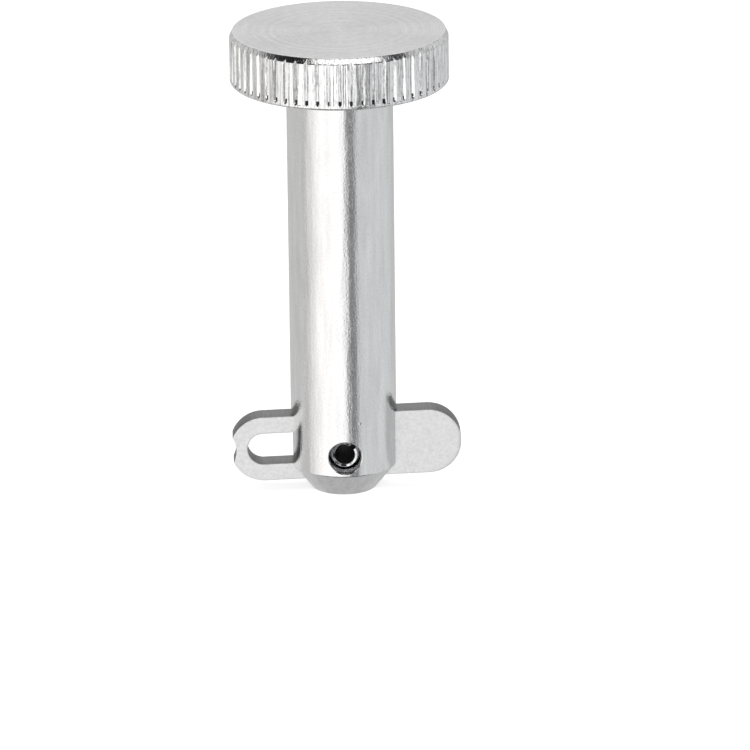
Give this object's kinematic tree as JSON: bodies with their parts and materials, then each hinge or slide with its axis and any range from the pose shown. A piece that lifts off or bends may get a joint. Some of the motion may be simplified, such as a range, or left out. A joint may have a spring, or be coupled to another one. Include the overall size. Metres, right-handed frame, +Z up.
{
  "type": "toggle locking pin",
  "caption": "Quick-release toggle pin: knurled round head on a plain steel shank, with a slotted blade that slides and rocks across the slotted tip.",
  "frame": {"origin": "centre of the flat tip face, on the shank's axis", "axes": "+Z up the shank's axis to the head; +X towards the blade's solid end, the slotted end is towards -X; +Y along the cross pin, away from the side first seen"},
  "size_m": [0.0275, 0.026, 0.0571],
  "materials": {
    "zinc_plated_bar": "bright zinc plate over turned steel, straight knurl on the head",
    "zinc_plated_strip": "matt zinc plate over stamped strip, grey sheared edges",
    "dark_spring_steel": "oil-blackened rolled spring steel",
    "bearing_steel": "polished",
    "spring_wire": "drawn music wire"
  },
  "bodies": {
    "pin_body": {"pin_body": "zinc_plated_bar", "detent_spring": "spring_wire"},
    "cross_pin": {"cross_pin": "dark_spring_steel"},
    "blade": {"swing_blade": "zinc_plated_strip"},
    "ball": {"detent_ball": "bearing_steel"}
  },
  "joints": [
    {"name": "blade_swing", "type": "hinge", "parent": "pin_body", "child": "cross_pin", "pos_m": [0, 0, 0.00545], "axis": [0, 1, 0], "range_deg": [0, 3.6]},
    {"name": "blade_slide", "type": "slide", "parent": "cross_pin", "child": "blade", "axis": [0.9995, 0, 0.0314], "range_m": [0, 0.0097]},
    {"name": "ball_lift", "type": "slide", "parent": "pin_body", "child": "ball", "axis": [0, 0, 1], "range_m": [0, 0.0007], "stiffness_N_per_m": 1500, "springref_m": -0.002, "deforming": ["detent_spring"]}
  ]
}
